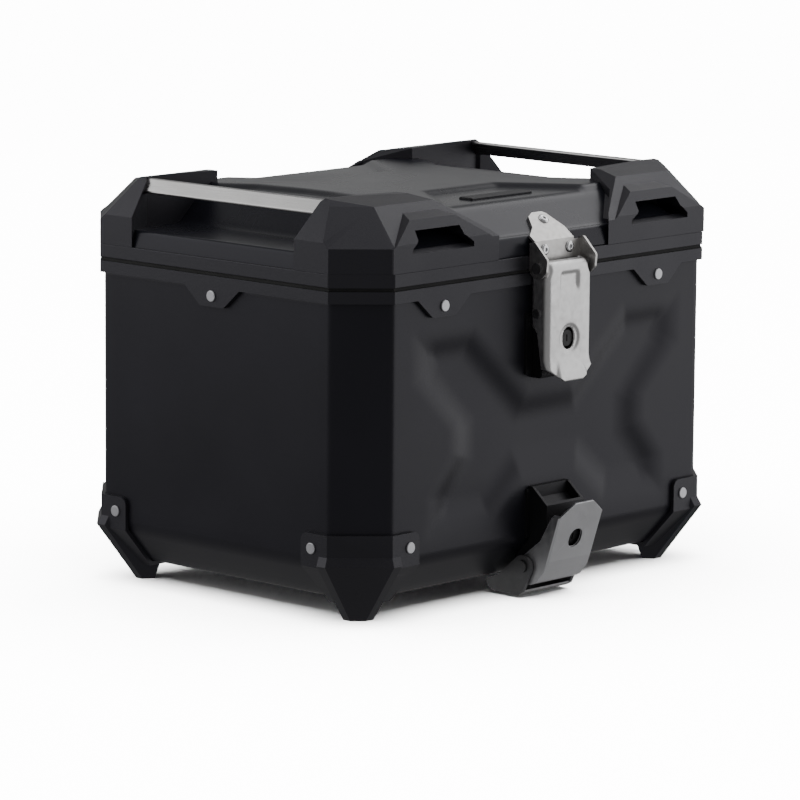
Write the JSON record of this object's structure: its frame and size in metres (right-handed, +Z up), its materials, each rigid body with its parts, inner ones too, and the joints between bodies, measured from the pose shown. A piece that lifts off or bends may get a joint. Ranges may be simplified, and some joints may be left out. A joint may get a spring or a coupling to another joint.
{
  "type": "top case",
  "caption": "Motorcycle top case: black aluminium box with chamfered corners, hinged lid with moulded corner caps, tie-down rails, an over-centre latch and a lever that locks it to a carrier.",
  "frame": {"origin": "middle of the bounding box's base, on the ground under the feet", "axes": "+Z up, -Y out of the face with the two latches, +X along the case's width to the right of that face"},
  "size_m": [0.416, 0.344, 0.306],
  "materials": {
    "black_panel": "satin black powder coat on aluminium sheet",
    "black_plastic": "fine-textured moulding",
    "seal_rubber": "matt",
    "rail_aluminium": "brushed",
    "rivet_aluminium": "satin",
    "steel": "zinc plated",
    "latch_steel": "satin stainless",
    "grey_metal": "satin grey",
    "dark_metal": "dark coated",
    "lock_metal": "dark nickel"
  },
  "bodies": {
    "case": {"carrier_hook_left": "steel", "carrier_hook_right": "steel", "carrier_housing": "black_plastic", "carrier_pin": "steel", "case_collar": "black_plastic", "case_hinge_left": "dark_metal", "case_hinge_right": "dark_metal", "case_hinge_rivets": "rivet_aluminium", "case_shell": "black_panel", "collar_rivets": "rivet_aluminium", "floor_plate": "steel", "foot_front_left": "black_plastic", "foot_front_right": "black_plastic", "foot_rear_left": "black_plastic", "foot_rear_right": "black_plastic", "foot_rivets": "rivet_aluminium", "hinge_pin_left": "steel", "hinge_pin_right": "steel", "hook_bolts": "steel", "hook_nuts": "steel", "housing_backing": "steel", "housing_screws": "steel", "latch_backing": "steel", "latch_base": "black_plastic", "latch_screws": "steel", "lower_lock_barrel": "lock_metal", "upper_lock_barrel": "lock_metal"},
    "lever": {"latch_lever": "latch_steel", "hook_pin": "steel"},
    "hook": {"draw_hook": "latch_steel"},
    "upper_key_plug": {"upper_lock_plug": "lock_metal", "upper_lock_cam": "lock_metal"},
    "lower_key_plug": {"lower_lock_plug": "lock_metal", "lower_lock_cam": "lock_metal"},
    "carrier_lever": {"carrier_lever": "grey_metal"},
    "claw": {"carrier_claw": "dark_metal"},
    "lid": {"lid_shell": "black_panel", "lid_frame": "black_plastic", "lid_seal": "seal_rubber", "cap_front_left": "black_plastic", "cap_front_right": "black_plastic", "cap_rear_left": "black_plastic", "cap_rear_right": "black_plastic", "cap_screws": "steel", "rail_left": "rail_aluminium", "rail_right": "rail_aluminium", "badge_plate": "black_panel", "latch_bracket": "latch_steel", "bracket_rivets": "rivet_aluminium", "lever_pin": "steel", "lid_hinge_left": "dark_metal", "lid_hinge_right": "dark_metal", "lid_hinge_rivets": "rivet_aluminium"}
  },
  "joints": [
    {"name": "lid_hinge", "type": "hinge", "parent": "case", "child": "lid", "pos_m": [0, 0.16755, 0.2448], "axis": [-1, 0, 0], "range_deg": [0, 95]},
    {"name": "latch_lever_pivot", "type": "hinge", "parent": "lid", "child": "lever", "pos_m": [0, -0.14725, 0.2473], "axis": [-1, 0, 0], "range_deg": [0, 90]},
    {"name": "draw_hook_pivot", "type": "hinge", "parent": "lever", "child": "hook", "pos_m": [0, -0.14405, 0.2135], "axis": [-1, 0, 0], "range_deg": [0, 25]},
    {"name": "upper_lock_turn", "type": "hinge", "parent": "case", "child": "upper_key_plug", "pos_m": [0, -0.15225, 0.194], "axis": [0, -1, 0], "range_deg": [0, 90]},
    {"name": "carrier_lever_pivot", "type": "hinge", "parent": "case", "child": "carrier_lever", "pos_m": [0, -0.13585, 0.0245], "axis": [1, 0, 0], "range_deg": [0, 65]},
    {"name": "claw_pivot", "type": "hinge", "parent": "case", "child": "claw", "pos_m": [0, -0.13585, 0.0245], "axis": [1, 0, 0], "range_deg": [-4, 0]},
    {"name": "lower_lock_turn", "type": "hinge", "parent": "case", "child": "lower_key_plug", "pos_m": [0, -0.16285, 0.0462], "axis": [0, -0.9517, -0.3071], "range_deg": [0, 90]}
  ],
  "couplings": [
    {"joint": "claw_pivot", "follows": "carrier_lever_pivot", "ratio": -0.06}
  ]
}
